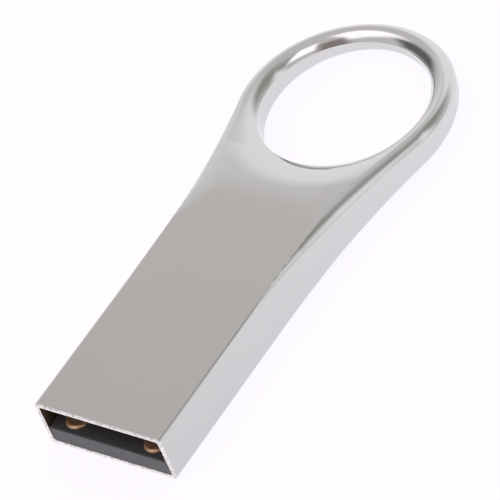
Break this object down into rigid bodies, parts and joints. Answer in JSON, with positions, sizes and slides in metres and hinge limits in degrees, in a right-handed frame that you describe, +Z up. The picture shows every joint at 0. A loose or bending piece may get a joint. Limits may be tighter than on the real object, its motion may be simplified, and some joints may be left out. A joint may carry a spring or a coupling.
{
  "type": "usb flash drive",
  "caption": "One-piece plated metal USB-A flash drive: flat rectangular body ending in the plug shell at one end and flaring into a large round keyring ring at the other.",
  "frame": {"origin": "centre of the plug's mouth: on the mouth plane, in the middle of its width and height", "axes": "+Y runs from the mouth along the drive to the ring, against the way the drive is plugged in; +Z is up, the side the contacts face; +X is across, so contact 1 (VBUS) is on +X"},
  "size_m": [0.0182, 0.045, 0.0044],
  "materials": {
    "plated_zinc": "polished and plated zinc alloy casting",
    "black_plastic": "moulded, matt",
    "tape": "double-sided tape",
    "epoxy": "cured epoxy",
    "laminate": "glass-filled resin laminate",
    "mask": "black solder mask",
    "gold_plate": "gold over nickel on copper",
    "mould": "moulded epoxy, fine matt",
    "silicon": "polished silicon",
    "die_film": "die attach film",
    "gold_wire": "drawn gold wire",
    "crystal_can": "nickel lid",
    "ceramic": "fired ceramic",
    "resistor_body": "glazed black",
    "ferrite": "sintered ferrite",
    "tin": "solder"
  },
  "bodies": {
    "root": {"casing": "plated_zinc", "carrier": "black_plastic", "retainer": "black_plastic", "mounting_tape": "tape", "epoxy_bead": "epoxy", "substrate": "laminate", "solder_mask": "mask", "contact_vbus": "gold_plate", "contact_dminus": "gold_plate", "contact_dplus": "gold_plate", "contact_gnd": "gold_plate", "test_pads": "gold_plate", "mould_compound": "mould", "controller_die": "silicon", "controller_attach": "die_film", "nand_die_lower": "silicon", "nand_attach_lower": "die_film", "nand_die_upper": "silicon", "nand_attach_upper": "die_film", "bond_fingers": "gold_plate", "controller_wires": "gold_wire", "nand_wires": "gold_wire", "crystal": "crystal_can", "capacitors": "ceramic", "resistors": "resistor_body", "ferrite_bead": "ferrite", "solder_lands": "tin"}
  },
  "joints": []
}
